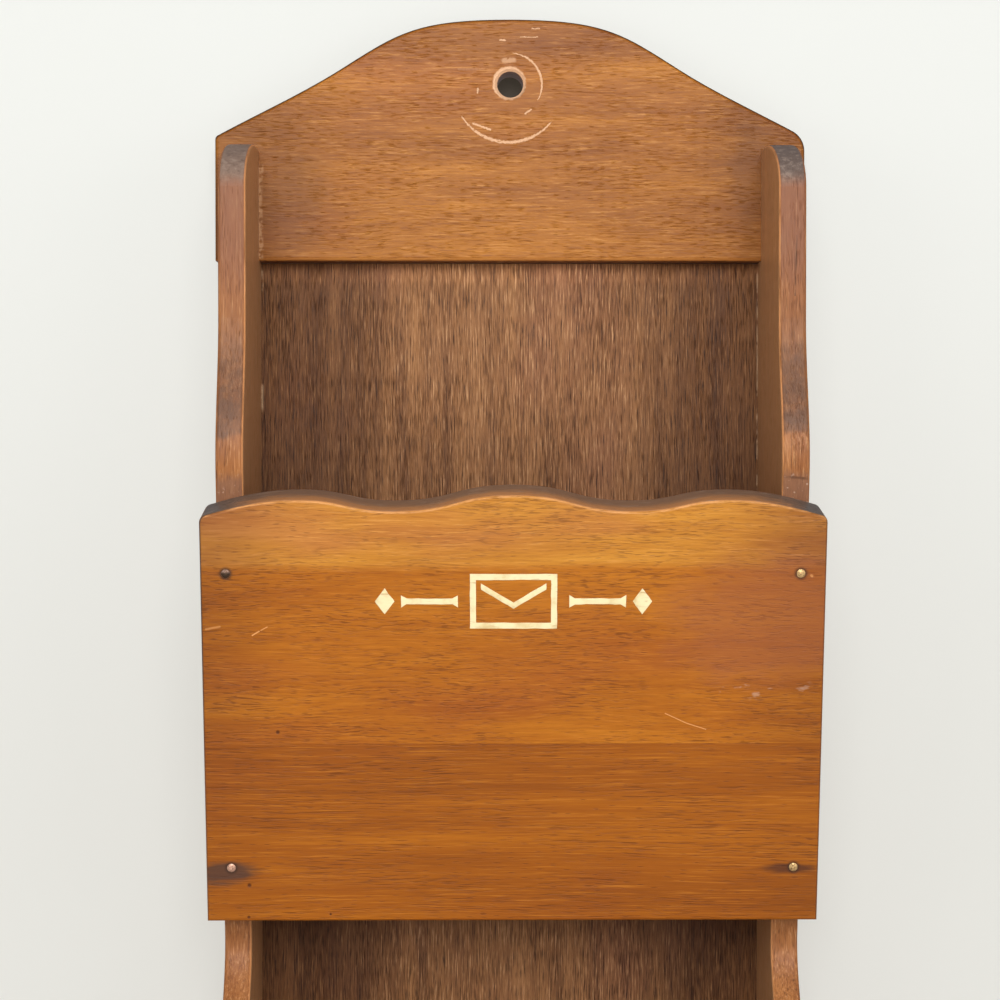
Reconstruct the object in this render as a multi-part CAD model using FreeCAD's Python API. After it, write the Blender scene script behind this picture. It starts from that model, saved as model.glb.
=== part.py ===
import FreeCAD, Part
import math
import os

from FreeCAD import Placement, Rotation, Vector

# Wall letter holder in stained wood: a shaped top board to hang it by, two shaped sides,
# a plywood back and two open pockets one above the other.
# Millimetres. X runs across, the wall is the plane Y = 0, the front faces -Y and Z is up.
# The origin is the centre of the hang hole, on the wall plane.

# Widths and stock
inside_width = 144.0            # clear width between the two sides
side_thickness = 7.5
back_thickness = 4.0            # plywood
top_board_thickness = 12.0
front_thickness = 15.0          # front boards of both pockets
floor_thickness = 7.5

# Top board
crest_above_hole = 18.6
top_board_height = 69.1         # crest down to the lower edge
top_board_overhang = 5.0        # past the outer face of each side
crown_handle = 27.0             # how long the crest stays nearly flat, each way
slope_middle_out = 48.3         # a point half way down each slope, out from the centre
slope_middle_drop = 14.1        # and below the crest
slope_middle_grade = 0.632      # fall over run at that point
slope_upper_handle = 16.0
slope_lower_handle = 12.0
shoulder_drop = 33.6            # crest down to the shoulder corner
shoulder_grade = 0.55           # fall over run at the shoulder
left_shoulder_radius = 1.4
right_shoulder_radius = 6.5
hole_diameter = 7.5
hole_rim_chamfer = 0.7

# Sides
side_below_shoulder = 3.5       # top of the sides, below the shoulder corners of the top board
neck_depth = 54.0               # wall to the straight front edge beside the top pocket
shoulder_flat = 4.0             # level top of the side, ahead of the top board
shoulder_rise = 15.2            # height of the rounded shoulder in front of it
neck_length = 35.4              # straight part below the shoulder
upper_ogee_height = 42.5        # curve from the neck out to the upper front
lower_ogee_height = 45.6        # curve from below the upper front out to the lower one
ogee_neck_handle = 15.5
ogee_nose_handle = 15.0
nose_rise = 8.3                 # seat of the front carried on above the front's corners
neck_below_front = 10.0         # and below its lower edge
rabbet_width = 4.0              # step for the plywood, in from the inner face

# Pockets
front_lean = 10.4               # degrees, the fronts lean out at the top
front_overhang = 3.0            # past the outer face of each side
front_corner_height = 111.7     # lower edge to the upper corners, along the slope
pocket_floor_depth = 36.2       # clear depth at the lower edge of a front
tier_names = ("upper", "lower")
stave_joint_height = 50.0       # glued joint between the two staves of a front

# Wavy upper edge of a front, heights above its corners
wave_centre_rise = 5.8
wave_valley_rise = 1.5
wave_side_rise = 4.5
wave_side_inset = 25.8          # crest of a side wave, in from the corner
wave_valley_inset = 25.3        # bottom of the valley, in from that crest
wave_side_handle = 10.3
wave_corner_grade = 0.3         # fall over run at the corners
wave_corner_handle = 8.0
front_corner_radius = 2.2

# Eased edges
front_ease = 0.8
side_ease = 0.9
top_board_ease = 1.0
rear_ease = 0.4

# Nails: length, shank and head, with the height of the domed part that stands proud
brad_length = 25.0
brad_shank = 1.4
brad_head = 2.3
brad_head_height = 0.6
brad_crown = 0.35
brad_from_lower_edge = 15.2
brad_from_corner = 15.2
floor_brad_length = 20.0
floor_brad_shank = 1.2
floor_brad_head = 1.9
floor_brad_inset = 9.0
board_nail_length = 32.0
board_nail_shank = 1.6
board_nail_head = 2.8
board_nail_inset = 9.0
tack_length = 12.0
tack_shank = 1.2
tack_head = 3.0
tack_head_height = 0.6
tack_end_inset = 18.0
tacks_per_side = 4
floor_tack_out = 36.0           # tacks into the rear edge of a floor, from the centre line
nail_point = 1.8                # tapered length at the tip

# Clearances
nail_slack = 0.05
back_slack = 0.2
cut_reach = 5.0                 # how far a cutting shape runs past the faces it cuts

# Places that follow from the sizes above
outside_half = inside_width / 2 + side_thickness
side_middle = inside_width / 2 + side_thickness / 2
front_half = outside_half + front_overhang
top_board_half = outside_half + top_board_overhang
top_board_bottom = crest_above_hole - top_board_height
shoulder_height = crest_above_hole - shoulder_drop
side_top = shoulder_height - side_below_shoulder
neck_top = side_top - shoulder_rise
lean = math.radians(front_lean)
seat_up = Vector(0, -math.sin(lean), math.cos(lean))
seat_in = Vector(0, math.cos(lean), math.sin(lean))
seat_length = front_corner_height + nose_rise
seat_foot = Vector(0, -(back_thickness + pocket_floor_depth),
                   neck_top - neck_length - upper_ogee_height - seat_length * seat_up.z)
front_foot = seat_foot - seat_in * front_thickness
tier_count = len(tier_names)
tier_pitch = lower_ogee_height + (neck_below_front + seat_length) * seat_up.z
base = front_foot.z - tier_pitch * (tier_count - 1)
wave_side_out = front_half - wave_side_inset
wave_valley_out = wave_side_out - wave_valley_inset

os.makedirs("parts", exist_ok=True)


def curve(*points):
    """Edge of the smooth curve that these four handles draw."""
    bezier = Part.BezierCurve()
    bezier.setPoles(list(points))
    return bezier.toShape()


def line(start, end):
    return Part.LineSegment(start, end).toShape()


def plate(edges, thickness):
    """Board of the given thickness with this closed outline."""
    return Part.Face(Part.Wire(edges)).extrude(thickness)


def box(low, high):
    size = high - low
    return Part.makeBox(size.x, size.y, size.z, low)


def edges_where(shape, test):
    return [edge for edge in shape.Edges if test(edge.BoundBox)]


def on_plane(axis, place):
    """Test for edges that lie in the plane at this place on the named axis."""
    near = 1e-4

    def test(bounds):
        low = getattr(bounds, axis + "Min")
        high = getattr(bounds, axis + "Max")
        return abs(low - place) < near and abs(high - place) < near

    return test


def nail(length, shank, head, head_height, crown=0.0, slack=0.0, reach=0.0):
    """Nail along +Y, its head's rim level with Y = 0; slack and reach make the hole that it fills."""
    shank_radius = shank / 2 + slack
    head_radius = head / 2 + slack
    tip = Vector(0, length + slack, 0)
    neck = Vector(shank_radius, length - nail_point, 0)
    under = Vector(shank_radius, head_height, 0)
    rim_under = Vector(head_radius, head_height, 0)
    rim = Vector(head_radius, -reach, 0)
    top = Vector(0, -reach - crown, 0)
    outline = [line(tip, neck), line(neck, under), line(under, rim_under), line(rim_under, rim)]
    if crown:
        dome = (head_radius ** 2 + crown ** 2) / (2 * crown)
        half_way = math.asin(head_radius / dome) / 2
        bend = Vector(dome * math.sin(half_way), dome - crown - dome * math.cos(half_way), 0)
        outline.append(Part.Arc(rim, bend, top).toShape())
    else:
        outline.append(line(rim, top))
    outline.append(line(top, tip))
    return Part.Face(Part.Wire(outline)).revolve(Vector(), Vector(0, 1, 0), 360)


def driven(sizes, placements, hole=False):
    """One nail, or one nail hole, at each placement."""
    crown = 0.0 if hole else sizes["crown"]
    slack = nail_slack if hole else 0.0
    reach = cut_reach if hole else 0.0
    first = nail(sizes["length"], sizes["shank"], sizes["head"], sizes["rim"], crown, slack, reach)
    return [first.copy().transformed(place.toMatrix(), True) for place in placements]


def drilled(shape, holes):
    return shape.cut(holes) if holes else shape


def save(name, *solids):
    shape = solids[0] if len(solids) == 1 else Part.makeCompound(list(solids))
    shape.exportStep("parts/" + name + ".step")
    print(name, len(shape.Solids), "solid(s)", round(shape.Volume), "mm3")


# Nail sizes by use
brad = {"length": brad_length, "shank": brad_shank, "head": brad_head,
        "rim": brad_head_height, "crown": brad_crown}
floor_brad = {"length": floor_brad_length, "shank": floor_brad_shank, "head": floor_brad_head,
              "rim": brad_head_height, "crown": 0.0}
board_nail = {"length": board_nail_length, "shank": board_nail_shank, "head": board_nail_head,
              "rim": tack_head_height, "crown": 0.0}
tack = {"length": tack_length, "shank": tack_shank, "head": tack_head,
        "rim": tack_head_height, "crown": 0.0}

from_rear = Rotation(Vector(0, 0, 1), 180)


def tier_drop(tier):
    return Vector(0, 0, -tier_pitch * tier)


def front_placement(tier):
    """Carries a front from upright, lower edge on Z = 0 and face on Y = 0, to its seat."""
    return Placement(front_foot + tier_drop(tier), Rotation(Vector(1, 0, 0), front_lean))


# Where the nails go
def brad_places(tier, height):
    seat = front_placement(tier)
    return [seat.multiply(Placement(Vector(x, 0, height), Rotation()))
            for x in (-side_middle, side_middle)]


def floor_middle(tier):
    return seat_foot.z + floor_thickness / 2 - tier_pitch * tier


def floor_brad_places(tier):
    rear = -back_thickness - floor_brad_inset
    front = seat_foot.y + floor_brad_inset
    places = []
    for side in (-1, 1):
        inward = Rotation(Vector(0, 1, 0), Vector(-side, 0, 0))
        for y in (rear, front):
            places.append(Placement(Vector(side * outside_half, y, floor_middle(tier)), inward))
    return places


def board_nail_places():
    heights = (top_board_bottom + board_nail_inset, side_top - board_nail_inset)
    return [Placement(Vector(x, 0, z), from_rear)
            for x in (-side_middle, side_middle) for z in heights]


def tack_places():
    top = top_board_bottom - tack_end_inset
    bottom = base + tack_end_inset
    step = (top - bottom) / (tacks_per_side - 1)
    out = inside_width / 2 + rabbet_width / 2
    places = [Vector(x, 0, top - step * i) for x in (-out, out) for i in range(tacks_per_side)]
    places += [Vector(x, 0, floor_middle(tier))
               for x in (-floor_tack_out, floor_tack_out) for tier in range(tier_count)]
    return [Placement(place, from_rear) for place in places]


upper_brads_height = front_corner_height - brad_from_corner
front_brads = [brad_places(tier, brad_from_lower_edge) + brad_places(tier, upper_brads_height)
               for tier in range(tier_count)]
all_front_brads = [place for places in front_brads for place in places]
all_floor_brads = [place for tier in range(tier_count) for place in floor_brad_places(tier)]


# Top board: a nearly flat crest, two slopes that ease out to square ends, and one hang hole
def top_board():
    crest = Vector(0, -top_board_thickness, crest_above_hole)
    outline = []
    for side in (1, -1):
        middle = crest + Vector(side * slope_middle_out, 0, -slope_middle_drop)
        shoulder = Vector(side * top_board_half, crest.y, shoulder_height)
        foot = Vector(side * top_board_half, crest.y, top_board_bottom)
        above = middle + Vector(-side, 0, slope_middle_grade) * slope_upper_handle
        below = middle + Vector(side, 0, -slope_middle_grade) * slope_lower_handle
        arrive = shoulder + Vector(-side, 0, shoulder_grade) * slope_lower_handle
        outline += [curve(crest, crest + Vector(side * crown_handle, 0, 0), above, middle),
                    curve(middle, below, arrive, shoulder),
                    line(shoulder, foot)]
    outline.append(line(Vector(top_board_half, crest.y, top_board_bottom),
                        Vector(-top_board_half, crest.y, top_board_bottom)))
    board = plate(Part.__sortEdges__(outline), Vector(0, top_board_thickness, 0))
    for x, radius in ((-top_board_half, left_shoulder_radius), (top_board_half, right_shoulder_radius)):
        corner = edges_where(board, lambda b: on_plane("X", x)(b) and on_plane("Z", shoulder_height)(b))
        board = board.makeFillet(radius, corner)
    board = board.makeFillet(top_board_ease, edges_where(board, on_plane("Y", -top_board_thickness)))
    board = board.makeFillet(rear_ease, edges_where(board, on_plane("Y", 0)))
    radius = hole_diameter / 2
    through = Vector(0, 1, 0)
    bore = Part.makeCylinder(radius, top_board_thickness + 2 * cut_reach,
                             Vector(0, -top_board_thickness - cut_reach, 0), through)
    rim = Part.makeCone(radius + hole_rim_chamfer, radius, hole_rim_chamfer,
                        Vector(0, -top_board_thickness, 0), through)
    return drilled(board.cut([bore, rim]), driven(board_nail, board_nail_places(), hole=True))


# Sides: rounded shoulder, straight neck, then a curve out to a leaning seat for each front
def side_outline():
    notch = -top_board_thickness
    top_rear = Vector(0, notch, side_top)
    top_front = Vector(0, notch - shoulder_flat, side_top)
    round_share = 0.5523        # handle share that makes a quarter ellipse
    shoulder_foot = Vector(0, -neck_depth, neck_top)
    shoulder_reach = top_front.y - shoulder_foot.y
    outline = [line(top_rear, top_front),
               curve(top_front, top_front - Vector(0, shoulder_reach * round_share, 0),
                     shoulder_foot + Vector(0, 0, shoulder_rise * round_share), shoulder_foot)]
    start = Vector(0, -neck_depth, neck_top - neck_length)
    outline.append(line(shoulder_foot, start))
    leave = start - Vector(0, 0, ogee_neck_handle)
    for tier in range(tier_count):
        foot = seat_foot + tier_drop(tier)
        nose = foot + seat_up * seat_length
        outline.append(curve(start, leave, nose + seat_up * ogee_nose_handle, nose))
        if tier < tier_count - 1:
            start = foot - seat_up * neck_below_front
            leave = start - seat_up * ogee_neck_handle
        else:
            start = foot - seat_up * ((foot.z - base) / seat_up.z)
        outline.append(line(nose, start))
    corners = [start, Vector(0, 0, base), Vector(0, 0, top_board_bottom),
               Vector(0, notch, top_board_bottom), top_rear]
    outline += [line(corners[i], corners[i + 1]) for i in range(len(corners) - 1)]
    return outline


def side_board(side):
    inner = side * inside_width / 2
    outer = side * outside_half
    board = plate(side_outline(), Vector(side * side_thickness, 0, 0))
    board.translate(Vector(inner, 0, 0))
    front_limit = -top_board_thickness - side_ease

    def shows(bounds):
        flat = on_plane("X", inner)(bounds) or on_plane("X", outer)(bounds)
        return flat and bounds.YMin < front_limit and bounds.ZMax > base + side_ease

    board = board.makeFillet(side_ease, edges_where(board, shows))
    low = Vector(min(inner, inner + side * rabbet_width), -back_thickness, base - cut_reach)
    high = Vector(max(inner, inner + side * rabbet_width), cut_reach, top_board_bottom)
    board = board.cut(box(low, high))
    holes = driven(brad, all_front_brads, True) + driven(floor_brad, all_floor_brads, True)
    holes += driven(board_nail, board_nail_places(), True) + driven(tack, tack_places(), True)
    return drilled(board, holes)


# Plywood back, let into the rabbets below the top board
def back_panel():
    half = inside_width / 2 + rabbet_width - back_slack
    board = box(Vector(-half, -back_thickness, base), Vector(half, 0, top_board_bottom - back_slack))
    return drilled(board, driven(tack, tack_places(), True))


# Front of a pocket: two glued staves, the upper one with a wavy edge
def front_blank():
    def rise(x, height):
        return Vector(x, 0, front_corner_height + height)

    def swell(start, end):
        pull = Vector((end.x - start.x) / 2, 0, 0)
        return curve(start, start + pull, end - pull, end)

    outline = [line(Vector(-front_half, 0, 0), Vector(front_half, 0, 0))]
    for side in (1, -1):
        foot = Vector(side * front_half, 0, 0)
        corner = rise(side * front_half, 0)
        bump = rise(side * wave_side_out, wave_side_rise)
        valley = rise(side * wave_valley_out, wave_valley_rise)
        arrive = corner + Vector(-side, 0, wave_corner_grade) * wave_corner_handle
        reach = Vector(side * wave_side_handle, 0, 0)
        outline += [line(foot, corner), curve(corner, arrive, bump + reach, bump),
                    swell(bump, valley), swell(valley, rise(0, wave_centre_rise))]
    blank = plate(Part.__sortEdges__(outline), Vector(0, front_thickness, 0))
    at_corner = on_plane("Z", front_corner_height)
    blank = blank.makeFillet(front_corner_radius, edges_where(blank, at_corner))
    blank = blank.makeFillet(front_ease, edges_where(blank, on_plane("Y", 0)))
    return blank.makeFillet(rear_ease, edges_where(blank, on_plane("Y", front_thickness)))


def stave(blank, low, high, tier):
    room = Vector(front_half + cut_reach, cut_reach, 0)
    span = box(Vector(-room.x, -room.y, low), Vector(room.x, front_thickness + room.y, high))
    piece = blank.common(span).transformed(front_placement(tier).toMatrix(), True)
    return drilled(piece, driven(brad, front_brads[tier], True))


# Floor of a pocket, its front edge planed to the lean of the front
def pocket_floor(tier):
    top = seat_foot + seat_up * (floor_thickness / seat_up.z)
    rear = -back_thickness
    corners = [seat_foot, top, Vector(0, rear, top.z), Vector(0, rear, seat_foot.z), seat_foot]
    outline = [line(corners[i], corners[i + 1]) for i in range(len(corners) - 1)]
    board = plate(outline, Vector(inside_width, 0, 0))
    board.translate(Vector(-inside_width / 2, 0, 0) + tier_drop(tier))
    holes = driven(floor_brad, floor_brad_places(tier), True) + driven(tack, tack_places(), True)
    return drilled(board, holes)


save("top_board", top_board())
save("left_side", side_board(-1))
save("right_side", side_board(1))
save("back_panel", back_panel())
front = front_blank()
tallest = front_corner_height + max(wave_centre_rise, wave_side_rise) + cut_reach
for tier, name in enumerate(tier_names):
    save(name + "_front_top_stave", stave(front, stave_joint_height, tallest, tier))
    save(name + "_front_bottom_stave", stave(front, -cut_reach, stave_joint_height, tier))
    save(name + "_pocket_floor", pocket_floor(tier))
    save(name + "_front_brads", *driven(brad, front_brads[tier]))
    save(name + "_floor_brads", *driven(floor_brad, floor_brad_places(tier)))
save("top_board_nails", *driven(board_nail, board_nail_places()))
save("back_panel_tacks", *driven(tack, tack_places()))
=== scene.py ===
import math

import bpy
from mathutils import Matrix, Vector


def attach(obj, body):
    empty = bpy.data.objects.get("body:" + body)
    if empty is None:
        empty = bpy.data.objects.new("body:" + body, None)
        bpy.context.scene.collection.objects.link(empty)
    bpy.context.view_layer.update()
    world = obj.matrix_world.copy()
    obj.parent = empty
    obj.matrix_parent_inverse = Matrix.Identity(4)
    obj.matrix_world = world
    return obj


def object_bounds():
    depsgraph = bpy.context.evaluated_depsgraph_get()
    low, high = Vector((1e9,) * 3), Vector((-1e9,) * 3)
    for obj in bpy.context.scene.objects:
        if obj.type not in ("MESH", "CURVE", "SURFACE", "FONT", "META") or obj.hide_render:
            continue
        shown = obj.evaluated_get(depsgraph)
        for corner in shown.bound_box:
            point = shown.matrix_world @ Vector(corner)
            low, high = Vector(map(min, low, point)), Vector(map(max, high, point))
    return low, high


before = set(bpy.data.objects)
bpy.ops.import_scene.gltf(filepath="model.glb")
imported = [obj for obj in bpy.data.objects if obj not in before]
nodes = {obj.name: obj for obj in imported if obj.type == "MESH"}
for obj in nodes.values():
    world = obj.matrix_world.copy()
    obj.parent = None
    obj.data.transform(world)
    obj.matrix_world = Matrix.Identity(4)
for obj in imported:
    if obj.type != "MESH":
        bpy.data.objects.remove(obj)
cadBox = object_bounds()
print("frame loaded:", len(nodes), "nodes")


bench = {}  # the material being made: its node tree, its shader and its coordinate sockets


def paint(red, green, blue):  # screen colour, 0 to 255, to a shader colour
    def linear(level):
        share = level / 255
        return share / 12.92 if share <= 0.04045 else ((share + 0.055) / 1.055) ** 2.4
    return linear(red), linear(green), linear(blue), 1.0


def plug(socket, value):
    if isinstance(value, bpy.types.NodeSocket):
        bench["tree"].links.new(value, socket)
    else:
        socket.default_value = value


def addNode(kind, inputs=None, **settings):
    made = bench["tree"].nodes.new("ShaderNode" + kind)
    for key, value in settings.items():
        setattr(made, key, value)
    for key, value in (inputs or {}).items():
        plug(made.inputs[key], value)
    return made


def calc(operation, first, second=0.0):
    return addNode("Math", {0: first, 1: second}, operation=operation).outputs[0]


def product(*masks):
    total = masks[0]
    for mask in masks[1:]:
        total = calc("MULTIPLY", total, mask)
    return total


def highest(*masks):
    total = masks[0]
    for mask in masks[1:]:
        total = calc("MAXIMUM", total, mask)
    return total


def fade(value, low, high):  # 0 at low, 1 at high, smooth between
    return addNode("MapRange", {"Value": value, "From Min": low, "From Max": high},
                   interpolation_type="SMOOTHSTEP").outputs[0]


def apart(vector):
    return addNode("SeparateXYZ", {0: vector}).outputs[:]


def joined(first, second, third=0.0):
    return addNode("CombineXYZ", {0: first, 1: second, 2: third}).outputs[0]


def tint(share, under, over, mode="MIX"):
    return addNode("Mix", {0: share, 6: under, 7: over}, data_type="RGBA", blend_type=mode).outputs[2]


def ramp(value, stops):
    made = addNode("ValToRGB", {"Fac": value})
    marks = made.color_ramp.elements
    for mark, (where, colour) in zip((marks[0], marks[-1]), (stops[0], stops[-1])):
        mark.position = where
        mark.color = colour
    for where, colour in stops[1:-1]:
        marks.new(where).color = colour
    return made.outputs[0]


def stretched(place, scales):
    return addNode("Mapping", {"Vector": place, "Scale": scales}).outputs[0]


def noise(place, scales, detail=2.0, rough=0.5):
    return addNode("TexNoise", {"Vector": stretched(place, scales), "Scale": 1.0, "Detail": detail,
                                "Roughness": rough}).outputs[0]


def openFinish(name):
    finish = bpy.data.materials.new(name)
    finish.use_nodes = True
    bench["tree"] = finish.node_tree
    bench["skin"] = finish.node_tree.nodes["Principled BSDF"]
    coords = addNode("TexCoord")
    bench["place"] = coords.outputs["Object"]
    bench["face"] = coords.outputs["Normal"]
    bench["x"], bench["y"], bench["z"] = apart(bench["place"])
    bench["faceX"], bench["faceY"], bench["faceZ"] = apart(bench["face"])
    return finish


def closeFinish(colour, roughness, height, bumpDepth, bumpStrength=0.5):
    skin = bench["skin"]
    skin.inputs["Specular IOR Level"].default_value = 0.22
    plug(skin.inputs["Base Color"], colour)
    plug(skin.inputs["Roughness"], roughness)
    bump = addNode("Bump", {"Strength": bumpStrength, "Distance": bumpDepth, "Height": height})
    plug(skin.inputs["Normal"], bump.outputs[0])


# marks on a board: plane is a vector of two board coordinates in metres
def spotMark(plane, centre, radius, soft=0.5):
    distance = addNode("VectorMath", {0: plane, 1: (*centre, 0)}, operation="DISTANCE").outputs["Value"]
    return fade(distance, radius * (1 + soft), radius * (1 - soft))


def strokeMark(plane, start, end, width):
    run = Vector((*end, 0)) - Vector((*start, 0))
    offset = addNode("VectorMath", {0: plane, 1: (*start, 0)}, operation="SUBTRACT").outputs[0]
    along = addNode("VectorMath", {0: offset, 1: run / run.length_squared}, operation="DOT_PRODUCT")
    share = addNode("Math", {0: along.outputs["Value"], 1: 1.0}, operation="MULTIPLY", use_clamp=True)
    foot = addNode("VectorMath", {0: run, "Scale": share.outputs[0]}, operation="SCALE").outputs[0]
    distance = addNode("VectorMath", {0: offset, 1: foot}, operation="DISTANCE").outputs["Value"]
    return fade(distance, width, width * 0.3)


def arcMark(plane, centre, radius, width, middle, halfSpan):  # angles in degrees, from the first axis
    offset = addNode("VectorMath", {0: plane, 1: (*centre, 0)}, operation="SUBTRACT").outputs[0]
    reach = addNode("VectorMath", {0: offset}, operation="LENGTH").outputs["Value"]
    aim = (math.cos(math.radians(middle)), math.sin(math.radians(middle)), 0)
    ahead = addNode("VectorMath", {0: offset, 1: aim}, operation="DOT_PRODUCT").outputs["Value"]
    turn = calc("DIVIDE", ahead, reach)
    within = fade(turn, math.cos(math.radians(halfSpan * 1.04)), math.cos(math.radians(halfSpan * 0.96)))
    taper = calc("ADD", 0.4, product(fade(turn, math.cos(math.radians(halfSpan)), 1.0), 0.6))
    off = calc("DIVIDE", calc("ABSOLUTE", calc("SUBTRACT", reach, radius)), taper)
    return product(within, fade(off, width, width * 0.4))


def ovalMark(plane, centre, halfWidth, halfHeight, ragged):  # ragged is a noise that frays its edge
    offset = addNode("VectorMath", {0: plane, 1: (*centre, 0)}, operation="SUBTRACT").outputs[0]
    rounded = stretched(offset, (1 / halfWidth, 1 / halfHeight, 1))
    reach = addNode("VectorMath", {0: rounded}, operation="LENGTH").outputs["Value"]
    frayed = calc("ADD", reach, product(calc("SUBTRACT", ragged, 0.5), 1.4))
    return fade(frayed, 1.15, 0.45)


def strokeMarks(plane, strokes):  # each stroke: start, end, width, strength
    return highest(*(product(strokeMark(plane, start, end, width), strength)
                     for start, end, width, strength in strokes))


def spotMarks(plane, spots):  # each spot: centre, radius
    return highest(*(spotMark(plane, centre, radius) for centre, radius in spots))


def woodGrain(look):  # colour, pore mask and fibre height of a plain board
    along, across, depth = (bench[axis] for axis in look["axes"])
    straight = joined(along, across, depth)
    sway = calc("SUBTRACT", noise(straight, look["sway"], 2.0), 0.5)
    grain = joined(along, calc("ADD", across, product(sway, look["swayDepth"])), depth)
    figure = noise(grain, look["figure"], 4.0, 0.6)
    colour = ramp(figure, [(0.3, look["dark"]), (0.5, look["middle"]), (0.72, look["light"])])
    patches = noise(straight, look["patches"], 2.0)
    colour = tint(product(fade(patches, 0.48, 0.72), look["patchShare"]), colour, look["patch"])
    fibre = noise(grain, look["fibre"], 3.0, 0.7)
    colour = tint(product(fade(fibre, 0.5, 0.72), look["fibreShare"]), colour, look["fibreDark"])
    colour = tint(product(fade(fibre, 0.48, 0.28), look["fibreShare"]), colour, look["fibreLight"])
    crowded = fade(noise(grain, look["crowds"], 2.0), 0.3, 0.68)
    dashes = fade(noise(grain, look["dashes"], 1.0), *look["dashCut"])
    cells = addNode("TexVoronoi", {"Vector": stretched(grain, look["pores"]), "Scale": 1.0})
    chosen = fade(apart(cells.outputs["Color"])[0], 1 - look["poreShare"], 1.1 - look["poreShare"])
    pore = highest(product(dashes, crowded), product(fade(cells.outputs["Distance"], 0.34, 0.12), chosen))
    veins = fade(noise(grain, look["veins"], 3.0, 0.6), 0.58, 0.7)
    colour = tint(product(veins, crowded, look["veinShare"]), colour, look["pore"])
    colour = tint(product(pore, look["poreStrength"]), colour, look["pore"])
    return colour, pore, fibre


def jointGlue(spans, broken):  # pale dried glue between these heights, in broken beads
    beads = [product(fade(bench["z"], low - 0.001, low + 0.001), fade(bench["z"], high + 0.001, high - 0.001))
             for low, high in spans]
    return product(highest(*beads), fade(broken, 0.36, 0.56))


topBoardLook = {
    "axes": ("x", "z", "y"),
    "sway": (14, 40, 40), "swayDepth": 0.004, "veins": (90, 2400, 1500), "veinShare": 0.35,
    "figure": (9, 110, 60), "patches": (14, 40, 30), "fibre": (140, 2100, 1300),
    "dashes": (260, 2600, 1500), "dashCut": (0.55, 0.7), "crowds": (40, 130, 90), "pores": (300, 2600, 1500),
    "dark": paint(141, 79, 16), "middle": paint(165, 99, 24), "light": paint(188, 118, 32),
    "patch": paint(150, 80, 34), "patchShare": 0.5,
    "fibreDark": paint(126, 68, 26), "fibreLight": paint(212, 146, 74), "fibreShare": 0.6,
    "pore": paint(92, 48, 22), "poreShare": 0.3, "poreStrength": 0.38,
    "bareWood": paint(234, 186, 146), "paleWearAndHighlight": paint(222, 150, 86),
    "edgeFace": paint(118, 72, 40), "darkEdge": paint(96, 76, 62),
    "endDarkening": paint(222, 219, 217), "topStain": paint(234, 228, 222), "glue": paint(196, 148, 104),
    "patchAndShadeTone": paint(112, 66, 30),
    "darkPatchesAndShade": (((-0.0625, -0.0335), 0.012, 0.013), ((0.0685, -0.0260), 0.006, 0.016)),
    "shake": (0.0007, 0.0007, 0.0),  # how far the scratches stray
    "holeMiddle": (-0.0003, 0.0003, 0.0), "holeRim": 0.0049,
    "glueSpan": (-0.0500, -0.0233),
    "arcs": (
        ((-0.0005, -0.0007), 0.01585, 0.00062, 266.6, 54),
        ((0.0, -0.00015), 0.00905, 0.00045, 28, 57),
    ),
    "strokes": (
        ((-0.0106, -0.0112), (-0.0057, -0.0130), 0.00045, 1.0),
        ((0.0043, -0.0084), (0.0060, -0.0072), 0.0004, 1.0),
        ((-0.0029, 0.0126), (-0.0014, 0.0126), 0.0004, 1.0),
        ((0.0029, 0.0135), (0.0078, 0.0135), 0.00025, 1.0),
        ((0.0063, 0.0159), (0.0084, 0.0159), 0.0003, 1.0),
        ((-0.0093, -0.0024), (-0.0093, -0.0012), 0.00035, 1.0),
        ((-0.0018, 0.0068), (0.0010, 0.0069), 0.0011, 0.6),
        ((-0.0148, 0.0043), (-0.0076, 0.0044), 0.0005, 0.15),
    ),
}


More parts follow.
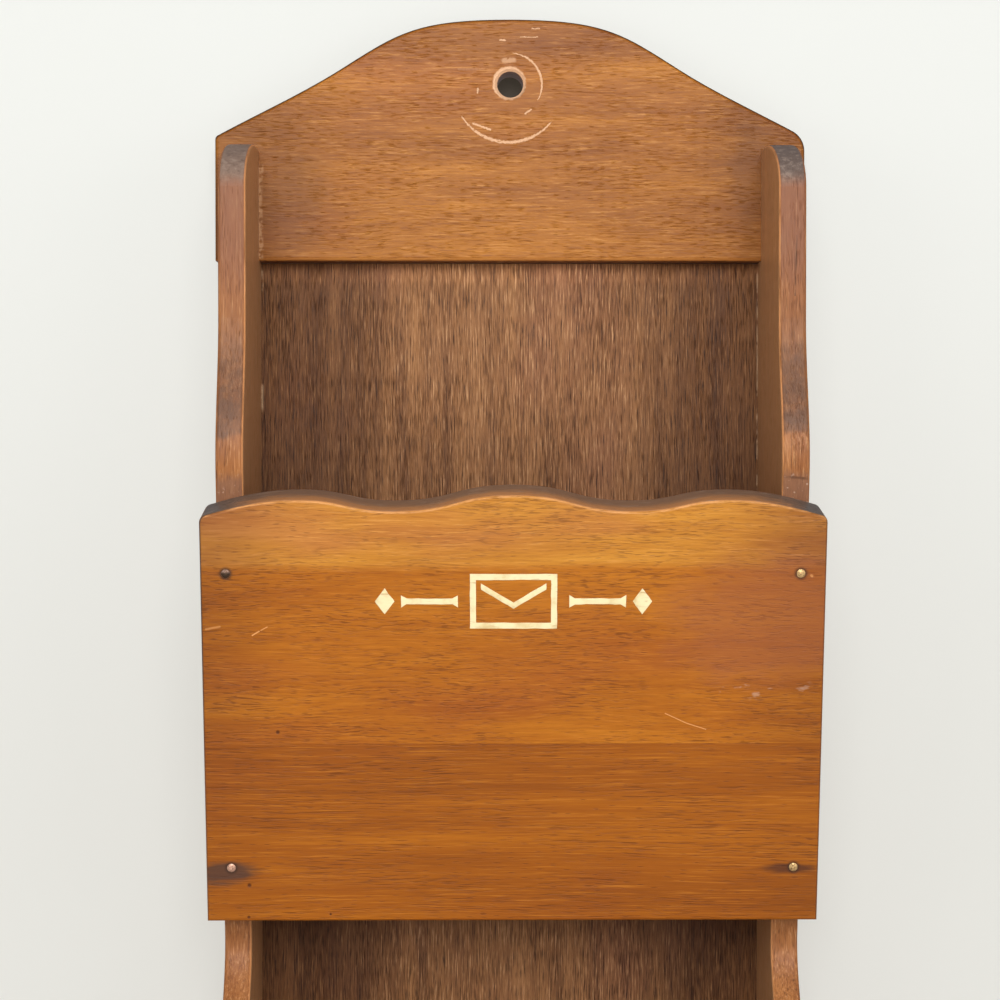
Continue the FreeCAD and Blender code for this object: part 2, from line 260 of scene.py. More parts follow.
def makeTopBoardWood():
    finish = openFinish("crestBoardWood")
    look = topBoardLook
    colour, pore, fibre = woodGrain(look)
    front = calc("MULTIPLY", bench["faceY"], -1.0)
    plane = joined(bench["x"], bench["z"])
    onFront = fade(front, 0.5, 0.9)
    # worn bare wood with a painted highlight along the lower front arris
    arris = product(fade(front, 0.99, 0.9), fade(front, 0.0, 0.2))
    colour = tint(product(arris, fade(bench["faceZ"], 0.05, -0.3), 0.45), colour, look["paleWearAndHighlight"])
    outward = calc("ABSOLUTE", bench["x"])
    # painted shade: the board's front darkens towards its ends, where the sides shut out light
    colour = tint(product(fade(outward, 0.046, 0.074), onFront), colour, look["endDarkening"], "MULTIPLY")
    colour = tint(product(fade(bench["z"], 0.002, 0.019), onFront), colour, look["topStain"], "MULTIPLY")
    # painted shadow on the strip of the board's front that stands past each side
    overhangShadow = product(fade(outward, 0.0800, 0.0825), fade(bench["z"], -0.019, -0.024), onFront)
    colour = tint(product(overhangShadow, 0.7), colour, look["edgeFace"])
    edgeFace = product(fade(front, 0.5, 0.1), fade(front, -0.5, -0.1))
    colour = tint(product(edgeFace, 0.7), colour, look["edgeFace"])
    upperRim = product(fade(front, 0.96, 0.6), fade(front, 0.15, 0.4), fade(bench["faceZ"], -0.1, 0.1))
    colour = tint(upperRim, colour, look["darkEdge"], "MULTIPLY")
    rubbed = noise(bench["place"], (900, 900, 900), 2.0)
    reach = addNode("VectorMath", {0: plane, 1: look["holeMiddle"]}, operation="DISTANCE").outputs["Value"]
    rim = fade(calc("ADD", reach, product(rubbed, 0.0008)), look["holeRim"] + 0.0006, look["holeRim"])
    shaken = addNode("TexNoise", {"Vector": stretched(bench["place"], (1500, 1500, 1500)), "Scale": 1.0})
    shaken = addNode("VectorMath", {0: shaken.outputs["Color"], 1: (0.5, 0.5, 0.5)}, operation="SUBTRACT")
    shaken = addNode("VectorMath", {0: shaken.outputs[0], 1: look["shake"]}, operation="MULTIPLY").outputs[0]
    jagged = addNode("VectorMath", {0: plane, 1: shaken}, operation="ADD").outputs[0]
    arcs = [arcMark(jagged, *arc) for arc in look["arcs"]]
    scratches = highest(*arcs, strokeMarks(jagged, look["strokes"]))
    # a stained dark patch near the left end, and painted shade near the right side
    patchy = noise(bench["place"], (120, 220, 220), 3.0, 0.6)
    darkPatchesAndShade = highest(*(ovalMark(plane, *patchAndShadeTone, patchy) for patchAndShadeTone in look["darkPatchesAndShade"]))
    colour = tint(product(darkPatchesAndShade, onFront, 0.35), colour, look["patchAndShadeTone"])
    smear = calc("ADD", bench["x"], product(noise(bench["place"], (220, 220, 220), 2.0), 0.002))
    smear = product(fade(smear, -0.0696, -0.0704), fade(bench["x"], -0.0750, -0.0740), onFront)
    colour = tint(product(smear, jointGlue([look["glueSpan"]], rubbed), 0.6), colour, look["glue"])
    bare = highest(product(rim, fade(front, 0.2, 0.5)), product(scratches, fade(rubbed, 0.2, 0.42), onFront))
    colour = tint(product(bare, 0.85), colour, look["bareWood"])
    roughness = calc("ADD", 0.4, product(highest(pore, bare), 0.25))
    height = calc("SUBTRACT", product(fibre, 0.3), highest(product(pore, 0.6), product(bare, 1.0)))
    closeFinish(colour, roughness, height, 0.0003)
    return finish


lean = math.radians(10.4)
frontFoot = (0.0, -0.05495, -0.23234)  # lower front edge of the upper front
frontUp = (0.0, -math.sin(lean), math.cos(lean))
frontOut = (0.0, -math.cos(lean), -math.sin(lean))
tierPitch = 0.17346
bradOut = 0.07575
bradHeights = {"lower": 0.0152, "upper": 0.0965}

topStaveLook = {
    "axes": ("x", "z", "y"),
    "sway": (30, 90, 60), "swayDepth": 0.003, "veins": (90, 2500, 1500), "veinShare": 0.52,
    "figure": (12, 130, 90), "patches": (16, 45, 40), "fibre": (100, 2000, 1300),
    "dashes": (300, 2700, 1500), "dashCut": (0.53, 0.68), "crowds": (36, 150, 90), "pores": (260, 2500, 1500),
    "dark": paint(152, 80, 12), "middle": paint(169, 95, 14), "light": paint(185, 110, 20),
    "patch": paint(158, 82, 26), "patchShare": 0.5,
    "fibreDark": paint(132, 66, 10), "fibreLight": paint(200, 122, 36), "fibreShare": 0.5,
    "pore": paint(92, 43, 5), "poreShare": 0.3, "poreStrength": 0.55,
    "band": (1.32, 1.76, 4.6, 1.0), "bandEnds": paint(232, 224, 240), "bandHeight": 0.0986,
    "paleWearAndHighlight": paint(232, 164, 100), "topFace": paint(128, 102, 84), "topWarm": paint(196, 136, 88),
    "topScuff": paint(168, 142, 124), "topCorner": paint(98, 87, 79),
    "endRim": paint(74, 58, 48), "endGrain": paint(172, 116, 68), "endPores": paint(116, 74, 44),
    "endDarkening": paint(227, 225, 246), "cloud": paint(150, 84, 50), "chalk": paint(232, 214, 196),
    "cloudMiddle": (0.0670, 0.0825), "cloudSize": (0.031, 0.019),
    "chalkLine": ((0.055, 0.0646), (0.077, 0.0648), 0.0035),
    "bradRing": paint(58, 38, 26), "ringRadius": 0.0017,
    "strokes": (
        ((-0.0690, 0.0798), (-0.0672, 0.0809), 0.00026, 0.85),
        ((-0.0667, 0.0812), (-0.0650, 0.0821), 0.00022, 0.6),
        ((-0.0812, 0.0815), (-0.0775, 0.0822), 0.0004, 0.35),
        ((0.0405, 0.0583), (0.0462, 0.0556), 0.0002, 0.7),
        ((0.0462, 0.0556), (0.0514, 0.0539), 0.0002, 0.7),
        ((0.0785, 0.0960), (0.0787, 0.0958), 0.0005, 0.45),
    ),
    "holes": (((-0.0627, 0.0532), 0.0005),),
}
bottomStaveLook = {
    **topStaveLook,
    "sway": (8, 30, 30), "figure": (7, 170, 90), "fibre": (50, 2100, 1300), "dashes": (160, 2800, 1500),
    "veins": (45, 2500, 1500),
    "dark": paint(137, 71, 7), "middle": paint(153, 82, 8), "light": paint(170, 96, 12),
    "patch": paint(144, 74, 18), "endDarkening": paint(244, 243, 255),
    "knot": paint(82, 54, 40), "knotMiddle": (-0.0775, 0.0140), "knotSize": (0.0095, 0.0040),
    "streak": paint(70, 38, 26), "streakMiddle": (0.0755, 0.0149), "streakSize": (0.0085, 0.0016),
    "holes": (((-0.0710, 0.0103), 0.0005), ((-0.0713, 0.0012), 0.0004), ((-0.0492, 0.0020), 0.0003)),
}


def frontCoordinates():  # height up the leaning face of either tier, and how squarely the surface faces out
    lowTier = calc("LESS_THAN", bench["z"], frontFoot[2] - 0.006)
    raised = joined(0.0, bench["y"], calc("ADD", bench["z"], product(lowTier, tierPitch)))
    offset = addNode("VectorMath", {0: raised, 1: frontFoot}, operation="SUBTRACT").outputs[0]
    height = addNode("VectorMath", {0: offset, 1: frontUp}, operation="DOT_PRODUCT").outputs["Value"]
    ahead = addNode("VectorMath", {0: offset, 1: frontOut}, operation="DOT_PRODUCT").outputs["Value"]
    facing = addNode("VectorMath", {0: bench["face"], 1: frontOut}, operation="DOT_PRODUCT").outputs["Value"]
    return height, calc("MULTIPLY", ahead, -1.0), facing, calc("SUBTRACT", 1.0, lowTier)


def darkEnds(height, facing, colour, look):  # stain gathered on the rounded ends of a front
    outward = calc("ABSOLUTE", bench["faceX"])
    endGrain = tint(noise(bench["place"], (300, 1500, 1500), 2.0, 0.6), look["endGrain"], look["endPores"])
    colour = tint(product(fade(outward, 0.6, 0.9), 0.8), colour, endGrain)
    rim = product(fade(facing, 0.98, 0.75), fade(facing, 0.1, 0.35), fade(outward, 0.12, 0.4))
    gathered = product(fade(bench["x"], 0.0, -0.01), fade(height, 0.03, 0.08))
    return tint(product(rim, calc("ADD", 0.3, product(gathered, 0.45))), colour, look["endRim"])


def ringedBrads(plane, height, colour, look):  # dark wood close around each brad
    rings = highest(*(spotMark(plane, (x, height), look["ringRadius"], 0.3) for x in (-bradOut, bradOut)))
    return tint(product(rings, 0.75), colour, look["bradRing"])


def makeTopStaveWood():
    finish = openFinish("frontTopStaveWood")
    look = topStaveLook
    colour, pore, fibre = woodGrain(look)
    height, deep, facing, upperTier = frontCoordinates()
    waver = product(calc("SUBTRACT", noise(bench["place"], (12, 40, 40), 2.0), 0.5), 0.004)
    band = fade(calc("ADD", height, waver), look["bandHeight"] - 0.002, look["bandHeight"] + 0.002)
    colour = tint(band, colour, look["band"], "MULTIPLY")
    outward = calc("ABSOLUTE", bench["x"])
    colour = tint(fade(outward, 0.055, 0.084), colour, look["endDarkening"], "MULTIPLY")
    colour = tint(product(band, fade(outward, 0.045, 0.080)), colour, look["bandEnds"], "MULTIPLY")
    # worn bare wood with a painted highlight along the upward-facing front arris
    arris = product(fade(facing, 0.98, 0.88), fade(facing, 0.2, 0.4), fade(bench["faceZ"], 0.0, 0.3))
    worn = noise(bench["place"], (160, 400, 400), 3.0, 0.6)
    colour = tint(product(arris, fade(worn, 0.35, 0.6), 0.7), colour, look["paleWearAndHighlight"])
    # the upward top faces take a greyer tone: dust and scuffs, and painted reflection of the varnish sheen
    upward = fade(bench["faceZ"], 0.55, 0.85)
    rearward = fade(calc("ADD", deep, product(calc("SUBTRACT", worn, 0.5), 0.008)), 0.001, 0.010)
    topTone = tint(rearward, look["topWarm"], look["topFace"])
    topTone = tint(fade(calc("ADD", outward, product(worn, 0.02)), 0.072, 0.088), topTone, look["topCorner"])
    topTone = tint(product(fade(worn, 0.54, 0.7), 0.5), topTone, look["topScuff"])
    colour = tint(product(upward, 0.94), colour, topTone)
    plane = joined(bench["x"], height)
    mottle = noise(bench["place"], (45, 90, 90), 3.0, 0.6)
    cloud = product(ovalMark(plane, look["cloudMiddle"], *look["cloudSize"], mottle), upperTier)
    colour = tint(product(cloud, 0.5), colour, look["cloud"])
    colour = darkEnds(height, facing, ringedBrads(plane, bradHeights["upper"], colour, look), look)
    chalky = product(strokeMark(plane, *look["chalkLine"]), fade(worn, 0.56, 0.66), upperTier)
    colour = tint(product(chalky, 0.2), colour, look["chalk"])
    scratches = product(strokeMarks(plane, look["strokes"]), upperTier, fade(facing, 0.5, 0.9))
    colour = tint(scratches, colour, look["paleWearAndHighlight"])
    holes = product(spotMarks(plane, look["holes"]), upperTier)
    colour = tint(holes, colour, look["pore"])
    roughness = calc("ADD", 0.4, product(highest(pore, scratches), 0.2))
    depth = calc("SUBTRACT", product(fibre, 0.3), highest(product(pore, 0.6), scratches, holes))
    closeFinish(colour, roughness, depth, 0.0003)
    return finish


def makeBottomStaveWood():
    finish = openFinish("frontBottomStaveWood")
    look = bottomStaveLook
    colour, pore, fibre = woodGrain(look)
    height, _, facing, upperTier = frontCoordinates()
    colour = tint(fade(calc("ABSOLUTE", bench["x"]), 0.055, 0.084), colour, look["endDarkening"], "MULTIPLY")
    plane = joined(bench["x"], height)
    ragged = noise(bench["place"], (60, 420, 420), 3.0, 0.6)
    knot = product(ovalMark(plane, look["knotMiddle"], *look["knotSize"], ragged), upperTier)
    colour = tint(product(knot, 0.92), colour, look["knot"])
    streak = product(ovalMark(plane, look["streakMiddle"], *look["streakSize"], ragged), upperTier)
    colour = tint(product(streak, 0.75), colour, look["streak"])
    colour = darkEnds(height, facing, ringedBrads(plane, bradHeights["lower"], colour, look), look)
    holes = product(spotMarks(plane, look["holes"]), upperTier)
    colour = tint(holes, colour, look["pore"])
    roughness = calc("ADD", 0.4, product(pore, 0.2))
    depth = calc("SUBTRACT", product(fibre, 0.3), highest(product(pore, 0.6), holes))
    closeFinish(colour, roughness, depth, 0.0003)
    return finish


sideLook = {
    "axes": ("z", "x", "y"),
    "sway": (10, 60, 60), "swayDepth": 0.002, "veins": (80, 2400, 1500), "veinShare": 0.6,
    "figure": (8, 200, 130), "patches": (60, 160, 120), "fibre": (110, 2200, 1500),
    "dashes": (220, 2400, 1500), "dashCut": (0.55, 0.7), "crowds": (40, 160, 90), "pores": (260, 2400, 1500),
    "dark": paint(142, 85, 44), "middle": paint(162, 102, 55), "light": paint(180, 118, 66),
    "patch": paint(140, 88, 56), "patchShare": 0.45,
    "fibreDark": paint(108, 62, 36), "fibreLight": paint(216, 160, 110), "fibreShare": 0.6,
    "pore": paint(74, 42, 26), "poreShare": 0.3, "poreStrength": 0.45,
    "innerFacePaintedLight": paint(202, 155, 110), "paleWearAndHighlight": paint(232, 160, 104),
    "skySheenAndDust": paint(138, 117, 103), "skySheenAndDustRight": paint(110, 98, 91), "wine": paint(128, 82, 62),
    "scuff": paint(184, 164, 148), "soot": paint(78, 64, 56),
    "ogeeDustAndShade": paint(102, 71, 53), "grime": paint(132, 94, 74), "specks": paint(206, 174, 150),
    "crack": paint(52, 32, 22),
    "cracks": (
        ((0.0725, -0.1120), (0.0798, -0.1126), 0.0005, 1.0),
        ((0.0768, -0.0470), (0.0764, -0.0630), 0.00035, 1.0),
    ),
}


def makeSideWood():
    finish = openFinish("sideBoardWood")
    look = sideLook
    colour, pore, fibre = woodGrain(look)
    flat = calc("ABSOLUTE", bench["faceX"])
    inward = product(bench["faceX"], calc("SIGN", bench["x"]))
    # painted light: the inner faces of the sides are lifted to a paler tone
    colour = tint(product(fade(inward, -0.7, -0.95), 0.55), colour, look["innerFacePaintedLight"])
    worn = noise(bench["place"], (220, 220, 220), 3.0, 0.6)
    broad = noise(bench["place"], (70, 70, 70), 3.0, 0.6)
    onEdge = fade(flat, 0.7, 0.4)
    ragged = calc("ADD", bench["z"], product(calc("SUBTRACT", broad, 0.5), 0.008))
    # a darker band down the ogee of the front edges: partly dust, partly painted shade
    ogeeDustAndShade = product(fade(ragged, -0.060, -0.090), fade(ragged, -0.1015, -0.0990), onEdge)
    ogeeDarkShare = calc("ADD", 0.5, product(fade(worn, 0.3, 0.65), 0.4))
    colour = tint(product(ogeeDustAndShade, ogeeDarkShare), colour, look["ogeeDustAndShade"])
    # upward-facing parts of the front edges take a dull grey tone: dust, scuffs and soot, with painted
    # reflection of the sky in the varnish
    tilted = calc("ADD", bench["faceZ"], product(calc("SUBTRACT", broad, 0.5), 0.7))
    upward = product(fade(tilted, -0.05, 0.7), fade(ragged, -0.066, -0.040))
    skySheenAndDust = tint(fade(bench["x"], -0.01, 0.01), look["skySheenAndDust"], look["skySheenAndDustRight"])
    shoulder = product(fade(ragged, -0.074, -0.048), onEdge)
    colour = tint(product(shoulder, 0.6), colour, look["wine"])
    mottle = noise(bench["place"], (480, 480, 480), 4.0, 0.7)
    skySheenAndDust = tint(product(fade(mottle, 0.5, 0.66), 0.38), skySheenAndDust, look["scuff"])
    skySheenAndDust = tint(product(fade(mottle, 0.48, 0.32), 0.5), skySheenAndDust, look["soot"])
    colour = tint(product(upward, fade(flat, 0.6, 0.3), 0.88), colour, skySheenAndDust)
    # worn bare wood with a painted highlight along the inner front arris
    arris = product(fade(inward, -0.4, -0.6), fade(inward, -0.95, -0.8))
    colour = tint(product(arris, fade(broad, 0.3, 0.55), 0.65), colour, look["paleWearAndHighlight"])
    plane = joined(bench["x"], bench["z"])
    grime = product(fade(ragged, -0.1100, -0.1135), fade(ragged, -0.1300, -0.1240), onEdge)
    colour = tint(product(grime, 0.65), colour, look["grime"])
    specks = fade(noise(bench["place"], (900, 900, 900), 2.0), 0.62, 0.72)
    colour = tint(product(grime, specks, 0.6), colour, look["specks"])
    crack = product(strokeMarks(plane, look["cracks"]), onEdge)
    colour = tint(product(crack, fade(worn, 0.3, 0.6), 0.6), colour, look["crack"])
    roughness = calc("ADD", 0.4, product(highest(pore, upward), 0.15))
    height = calc("SUBTRACT", product(fibre, 0.3), product(pore, 0.6))
    closeFinish(colour, roughness, height, 0.0003)
    return finish


plywoodLook = {
    "axes": ("z", "x", "y"),
    "sway": (8, 22, 22), "swayDepth": 0.004, "veins": (90, 2500, 1500), "veinShare": 0.85,
    "figure": (10, 240, 200), "patches": (14, 26, 26), "fibre": (120, 2500, 1500),
    "dashes": (180, 3600, 1500), "dashCut": (0.52, 0.66), "crowds": (26, 120, 90), "pores": (180, 2800, 1500),
    "dark": paint(126, 82, 48), "middle": paint(150, 101, 60), "light": paint(170, 118, 72),
    "patch": paint(140, 88, 62), "patchShare": 0.5,
    "fibreDark": paint(48, 26, 14), "fibreLight": paint(208, 157, 110), "fibreShare": 1.0,
    "pore": paint(66, 38, 24), "poreShare": 0.5, "poreStrength": 0.65,
    "edgeDarkening": paint(185, 174, 158), "lowPaintedShade": paint(236, 234, 232), "paintedLiftUnderCrest": (1.36, 1.34, 1.36, 1.0),
    "glue": paint(206, 172, 134),
    "leftGlue": ((-0.0582, -0.0524), (-0.0931, -0.0858)), "rightGlue": ((-0.1160, -0.0530),),
}


def makePlywood():
    finish = openFinish("plywoodBack")
    look = plywoodLook
    colour, pore, fibre = woodGrain(look)
    outward = calc("ABSOLUTE", bench["x"])
    cloudy = product(calc("SUBTRACT", noise(bench["place"], (20, 20, 20), 2.0), 0.5), 0.02)
    onFront = fade(bench["faceY"], -0.3, -0.7)
    # darker towards the sides
    edged = product(fade(calc("ADD", outward, cloudy), 0.028, 0.056), onFront)
    colour = tint(edged, colour, look["edgeDarkening"], "MULTIPLY")
    # painted shade: darker towards the bottom, where the front shuts out light
    colour = tint(product(fade(bench["z"], -0.085, -0.118), onFront), colour, look["lowPaintedShade"], "MULTIPLY")
    # painted light lifting the shadow the crest board casts on the top of the ply
    colour = tint(product(fade(bench["z"], -0.0585, -0.0520), onFront), colour, look["paintedLiftUnderCrest"], "MULTIPLY")
    broken = noise(bench["place"], (300, 300, 300), 2.0)
    leftBeads = product(fade(bench["x"], -0.0711, -0.0717), jointGlue(look["leftGlue"], broken))
    rightBeads = product(fade(bench["x"], 0.0715, 0.0718), jointGlue(look["rightGlue"], broken))
    colour = tint(product(highest(leftBeads, rightBeads), onFront, 0.5), colour, look["glue"])
    roughness = calc("ADD", 0.5, product(pore, 0.2))
    height = calc("SUBTRACT", product(fibre, 0.5), product(pore, 0.6))
    closeFinish(colour, roughness, height, 0.0004)
    return finish


floorBoardLook = {
    **sideLook,
    "axes": ("x", "y", "z"),
    "dark": paint(132, 84, 52), "middle": paint(158, 104, 66), "light": paint(180, 124, 80),
}


def makeFloorWood():
    finish = openFinish("pocketFloorWood")
    colour, pore, fibre = woodGrain(floorBoardLook)
    roughness = calc("ADD", 0.45, product(pore, 0.2))
    closeFinish(colour, roughness, calc("SUBTRACT", product(fibre, 0.3), product(pore, 0.6)), 0.0003)
    return finish


bradLook = {
    "brass": paint(212, 174, 120), "copper": paint(210, 164, 140), "tarnishAndRimShade": paint(92, 66, 42),
    "aged": paint(70, 54, 42), "paintedTopHighlight": paint(158, 128, 112),
}
nailLook = {"steel": paint(150, 148, 146), "rust": paint(96, 68, 50)}


def makeMetal(name, bright, dull, cover):
    finish = openFinish(name)
    bench["skin"].inputs["Metallic"].default_value = 1.0
    grime = noise(bench["place"], (1400, 1400, 1400), 3.0, 0.6)
    share = fade(grime, cover, cover + 0.25)
    colour = tint(share, bright, dull)
    roughness = calc("ADD", 0.3, product(share, 0.35))
    closeFinish(colour, roughness, grime, 0.0001)
    return finish


def makeBradMetal():
    finish = openFinish("brassBrad")
    look = bradLook
    bench["skin"].inputs["Metallic"].default_value = 0.6
    height, _, facing, _ = frontCoordinates()
    left = fade(bench["x"], 0.001, -0.001)
    colour = tint(left, look["brass"], look["copper"])
    # the dark aged brad has a paler top half: painted highlight
    topHalf = fade(height, bradHeights["upper"], bradHeights["upper"] + 0.0007)
    agedWithTopHighlight = tint(topHalf, look["aged"], look["paintedTopHighlight"])
    colour = tint(product(left, fade(height, 0.05, 0.06)), colour, agedWithTopHighlight)
    grime = noise(bench["place"], (2100, 2100, 2100), 3.0, 0.7)
    # tarnish specks, and painted shade around the rim of each head where it turns away
    share = highest(product(fade(grime, 0.46, 0.66), 0.8), product(fade(facing, 0.94, 0.7), 0.75))
    closeFinish(tint(share, colour, look["tarnishAndRimShade"]), calc("ADD", 0.38, product(share, 0.3)), grime, 0.0001)
    return finish


finishes = {
    "top_board_wood": makeTopBoardWood(),
    "side_wood": makeSideWood(),
    "plywood": makePlywood(),
    "floor_wood": makeFloorWood(),
    "brass_brad": makeBradMetal(),
    "steel_nail": makeMetal("steelNail", nailLook["steel"], nailLook["rust"], 0.45),
}
topStaveWood = makeTopStaveWood()
bottomStaveWood = makeBottomStaveWood()
slotOfNode = {
    "top_board": "top_board_wood", "back_panel": "plywood",
    "left_side": "side_wood", "right_side": "side_wood",
    "upper_pocket_floor": "floor_wood", "lower_pocket_floor": "floor_wood",
    "upper_front_brads": "brass_brad", "lower_front_brads": "brass_brad",
    "upper_floor_brads": "steel_nail", "lower_floor_brads": "steel_nail",
    "top_board_nails": "steel_nail", "back_panel_tacks": "steel_nail",
}
for name, node in nodes.items():
    node.data.materials.clear()
    if name.endswith("top_stave"):
        node.data.materials.append(topStaveWood)
    elif name.endswith("bottom_stave"):
        node.data.materials.append(bottomStaveWood)
    else:
        node.data.materials.append(finishes[slotOfNode[name]])
print("finishes on", len(nodes), "nodes")


# cream paint ornament on each front, drawn flat and then laid on the leaning face
ornamentLook = {
    "height": 0.0890,  # up the front, to the ornament's middle
    "proud": 0.00012, "sunk": 0.00006,
    "letter": (0.0230, 0.0148), "stroke": 0.0016, "flapDrop": 0.0052,
    "bar": (0.0150, 0.0016), "barFlare": 2.1, "barMiddle": 0.0222,
    "diamond": (0.0052, 0.0070), "diamondMiddle": 0.0340,
    "tremble": 0.00012, "softEdge": 0.00004,
    "cream": paint(240, 224, 176), "aged": paint(216, 188, 132), "thin": paint(176, 128, 72),
}


def makeCreamPaint():
    finish = openFinish("creamPaint")
    look = ornamentLook
    ageing = noise(bench["place"], (180, 180, 180), 3.0, 0.6)
    brushed = noise(bench["place"], (240, 1600, 1600), 2.0)
    colour = tint(fade(ageing, 0.45, 0.75), look["cream"], look["aged"])
    colour = tint(product(fade(brushed, 0.6, 0.75), 0.6), colour, look["thin"])
    closeFinish(colour, calc("ADD", 0.45, product(ageing, 0.2)), brushed, 0.0001)
    return finish


def selectPoints(mesh, test):  # edit mode off: picks the points that pass the test
    for point in mesh.vertices:
        point.select = test(point.co)
    for edge in mesh.edges:
        edge.select = all(mesh.vertices[i].select for i in edge.vertices)
    for face in mesh.polygons:
        face.select = all(mesh.vertices[i].select for i in face.vertices)


def movePoints(piece, test, **change):
    selectPoints(piece.data, test)
    bpy.ops.object.mode_set(mode="EDIT")
    if "offset" in change:
        bpy.ops.transform.translate(value=change["offset"])
    if "resize" in change:
        bpy.ops.transform.resize(value=change["resize"], center_override=change["about"])
    bpy.ops.object.mode_set(mode="OBJECT")


def flatBar(length, width, columns):
    bpy.ops.object.select_all(action="DESELECT")
    bpy.ops.mesh.primitive_grid_add(x_subdivisions=columns, y_subdivisions=2, size=1.0)
    piece = bpy.context.object
    piece.scale = (length, width, 1.0)
    bpy.ops.object.transform_apply(location=False, rotation=False, scale=True)
    return piece


def letterFrame(look):
    piece = flatBar(*look["letter"], 1)
    bpy.ops.object.mode_set(mode="EDIT")
    bpy.ops.mesh.select_all(action="SELECT")
    bpy.ops.mesh.dissolve_limited()
    bpy.ops.mesh.inset(thickness=look["stroke"])
    bpy.ops.mesh.delete(type="FACE")
    bpy.ops.mesh.select_all(action="SELECT")
    bpy.ops.mesh.subdivide(number_cuts=7)
    bpy.ops.object.mode_set(mode="OBJECT")
    return piece


def letterFlap(look):
    span = look["letter"][0] - 3.6 * look["stroke"]
    piece = flatBar(span, look["stroke"], 12)
    top = look["letter"][1] / 2 - 2.1 * look["stroke"]
    for column in sorted({round(point.co.x, 6) for point in piece.data.vertices}):
        drop = look["flapDrop"] * (1 - abs(column) / (span / 2))
        movePoints(piece, lambda co: abs(co.x - column) < 1e-5, offset=(0, top - drop, 0))
    return piece


def sideBar(look, side):
    piece = flatBar(*look["bar"], 10)
    end = look["bar"][0] / 2
    for tip in (-end, end):
        movePoints(piece, lambda co: abs(co.x - tip) < 1e-5, resize=(1, look["barFlare"], 1), about=(0, 0, 0))
    movePoints(piece, lambda co: True, offset=(side * look["barMiddle"], 0, 0))
    return piece


def diamond(look, side):
    piece = flatBar(1.0, 1.0, 6)
    bpy.ops.object.mode_set(mode="EDIT")
    bpy.ops.mesh.select_all(action="SELECT")
    bpy.ops.transform.rotate(value=math.radians(45), orient_axis="Z", center_override=(0, 0, 0))
    bpy.ops.transform.resize(value=(look["diamond"][0] / math.sqrt(2), look["diamond"][1] / math.sqrt(2), 1),
                             center_override=(0, 0, 0))
    bpy.ops.object.mode_set(mode="OBJECT")
    movePoints(piece, lambda co: True, offset=(side * look["diamondMiddle"], 0, 0))
    return piece


def addOrnament():
    look = ornamentLook
    strokes = [letterFrame(look), letterFlap(look)]
    for side in (-1, 1):
        strokes += [sideBar(look, side), diamond(look, side)]
    bpy.ops.object.select_all(action="DESELECT")
    for stroke in strokes:
        stroke.select_set(True)
    bpy.context.view_layer.objects.active = strokes[0]
    bpy.ops.object.join()
    ornament = bpy.context.object
    ornament.name = "upperOrnament"
    bpy.ops.object.mode_set(mode="EDIT")
    bpy.ops.mesh.select_all(action="SELECT")
    bpy.ops.transform.vertex_random(offset=look["tremble"], seed=7)  # a hand-held brush
    bpy.ops.transform.resize(value=(1, 1, 0), center_override=(0, 0, 0))
    bpy.ops.transform.translate(value=(0, 0, -look["sunk"]))
    bpy.ops.mesh.extrude_region_move(TRANSFORM_OT_translate={"value": (0, 0, look["proud"] + look["sunk"])})
    bpy.ops.mesh.select_all(action="SELECT")
    bpy.ops.mesh.normals_make_consistent(inside=False)
    bpy.ops.object.mode_set(mode="OBJECT")
    soften = ornament.modifiers.new("softEdge", "BEVEL")
    soften.width = look["softEdge"]
    soften.segments = 2
    bpy.ops.object.modifier_apply(modifier=soften.name)
    bpy.ops.object.shade_smooth_by_angle(angle=math.radians(40))
    ornament.data.materials.clear()
    ornament.data.materials.append(makeCreamPaint())
    ornament.rotation_euler = (math.radians(90) + lean, 0, 0)
    ornament.location = Vector(frontFoot) + look["height"] * Vector(frontUp)
    bpy.ops.object.transform_apply(location=True, rotation=True, scale=True)
    bpy.ops.object.duplicate()
    lower = bpy.context.object
    lower.name = "lowerOrnament"
    lower.location.z -= tierPitch
    bpy.ops.object.transform_apply(location=True, rotation=True, scale=True)
    for piece in (ornament, lower):
        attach(piece, "root")
    print("ornaments painted:", len(ornament.data.polygons), "faces each")


addOrnament()

stageLook = {
    "spread": 6.0,
    "floor": paint(232, 232, 228), "floorMottle": paint(214, 214, 210), "wall": paint(137, 137, 133),
    "glowHigh": paint(244, 245, 240), "glowLow": paint(228, 226, 219), "glow": 0.65,
    "holeShade": paint(64, 58, 50),
}


def makeFloorFinish():
    finish = openFinish("paleFloor")
    mottle = noise(bench["place"], (3, 3, 3), 3.0)
    colour = tint(product(mottle, 0.08), stageLook["floor"], stageLook["floorMottle"])
    plug(bench["skin"].inputs["Base Color"], colour)
    bench["skin"].inputs["Roughness"].default_value = 0.9
    return finish


def makeWallFinish():  # a set wall that is only there from the front; it glows, brighter towards the top, as painted light that hides most of the object's shade on it, with a painted shadow behind the hang hole
    finish = openFinish("paleWall")
    shade = spotMark(bench["place"], (0, 0), 0.012, 0.2)
    plug(bench["skin"].inputs["Base Color"], tint(shade, stageLook["wall"], stageLook["holeShade"]))
    bench["skin"].inputs["Roughness"].default_value = 0.9
    glow = tint(fade(bench["y"], -0.24, 0.04), stageLook["glowLow"], stageLook["glowHigh"])
    plug(bench["skin"].inputs["Emission Color"], tint(shade, glow, stageLook["holeShade"]))
    bench["skin"].inputs["Emission Strength"].default_value = stageLook["glow"]
    sides = addNode("NewGeometry").outputs["Backfacing"]
    clear = addNode("BsdfTransparent").outputs[0]
    mixed = addNode("MixShader", {0: sides, 1: bench["skin"].outputs[0], 2: clear})
    plug(bench["tree"].nodes["Material Output"].inputs["Surface"], mixed.outputs[0])
    return finish


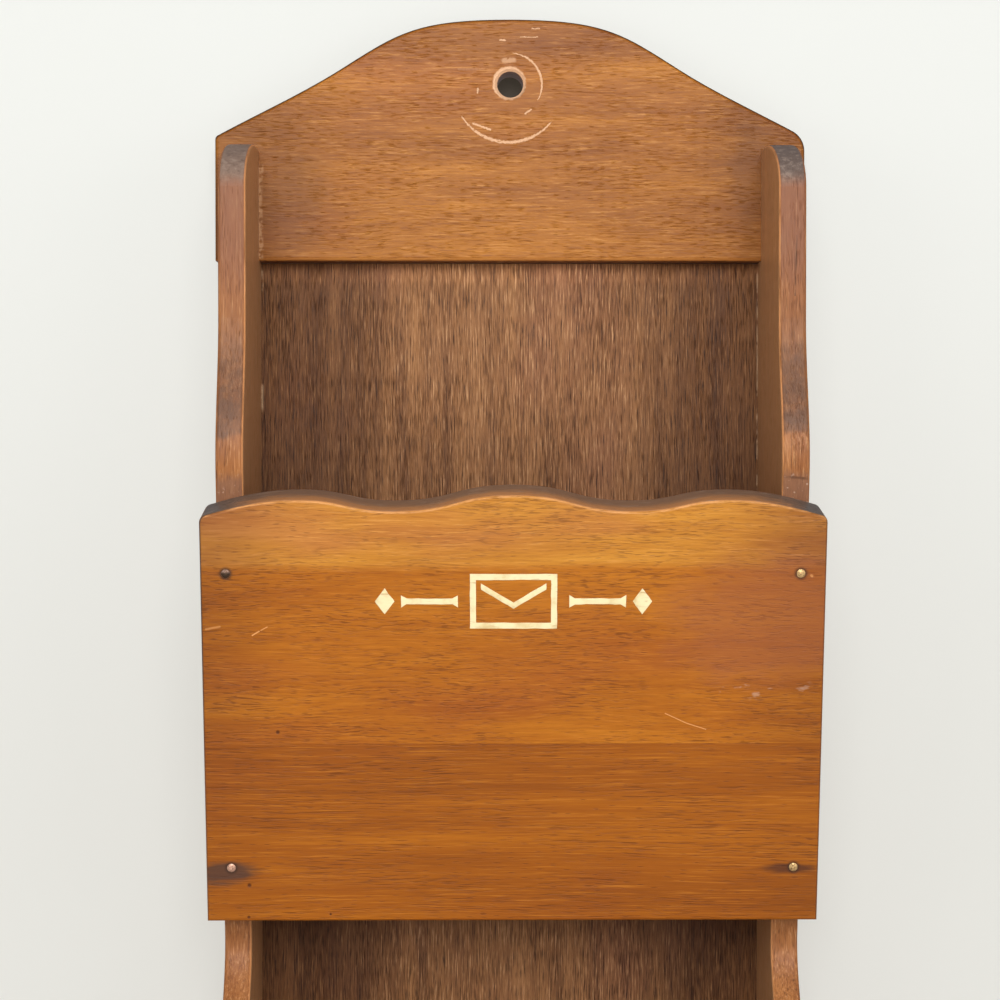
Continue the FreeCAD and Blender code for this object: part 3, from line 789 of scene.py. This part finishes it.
def addStage():
    bpy.ops.object.select_all(action="DESELECT")
    bpy.ops.mesh.primitive_plane_add(size=stageLook["spread"], location=(0, 0, cadBox[0][2] - 0.0002))
    floor = bpy.context.object
    floor.name = "stageFloor"
    floor.data.materials.append(makeFloorFinish())
    bpy.ops.object.select_all(action="DESELECT")
    bpy.ops.mesh.primitive_plane_add(size=stageLook["spread"], location=(0, cadBox[1][1] + 0.0004, 0),
                                     rotation=(math.radians(90), 0, 0))
    wall = bpy.context.object
    wall.name = "stageWall"
    wall.data.materials.append(makeWallFinish())
    wall.visible_shadow = False
    wall.visible_diffuse = False
    wall.visible_glossy = False
    wall.visible_transmission = False


lightLook = {
    "key": {"at": (0.0, -1.55, 0.47), "size": 0.8, "power": 19.3},
    "leftFill": {"at": (-1.3, -1.25, -0.05), "size": 0.9, "power": 5.0},
    "rightFill": {"at": (1.3, -1.25, -0.05), "size": 0.9, "power": 5.0},
}
aimPoint = Vector((0, -0.03, -0.17))
roomLook = {"colour": (0.92, 0.95, 1.0, 1.0), "strength": 0.30}


def addLights():
    for name, look in lightLook.items():
        bpy.ops.object.light_add(type="AREA", location=look["at"])
        lamp = bpy.context.object
        lamp.name = name + "Light"
        lamp.data.size = look["size"]
        lamp.data.energy = look["power"]
        lamp.rotation_euler = (aimPoint - lamp.location).to_track_quat("-Z", "Y").to_euler()
    world = bpy.data.worlds.new("paleRoom")
    world.use_nodes = True
    world.node_tree.nodes["Background"].inputs["Color"].default_value = roomLook["colour"]
    world.node_tree.nodes["Background"].inputs["Strength"].default_value = roomLook["strength"]
    bpy.context.scene.world = world


cameraLook = {"at": (-0.0107, -0.7298, -0.1068), "down": 0.98, "right": 0.62, "lens": 90.0}


def addCamera():
    bpy.ops.object.camera_add(location=cameraLook["at"], rotation=(math.radians(90 - cameraLook["down"]), 0,
                                                                   math.radians(-cameraLook["right"])))
    camera = bpy.context.object
    camera.data.lens = cameraLook["lens"]
    camera.data.sensor_width = 36.0
    camera.data.clip_start = 0.01
    bpy.context.scene.camera = camera
    bpy.context.scene.view_settings.view_transform = "Standard"


addStage()
addLights()
addCamera()
print("stage, lights and camera set")
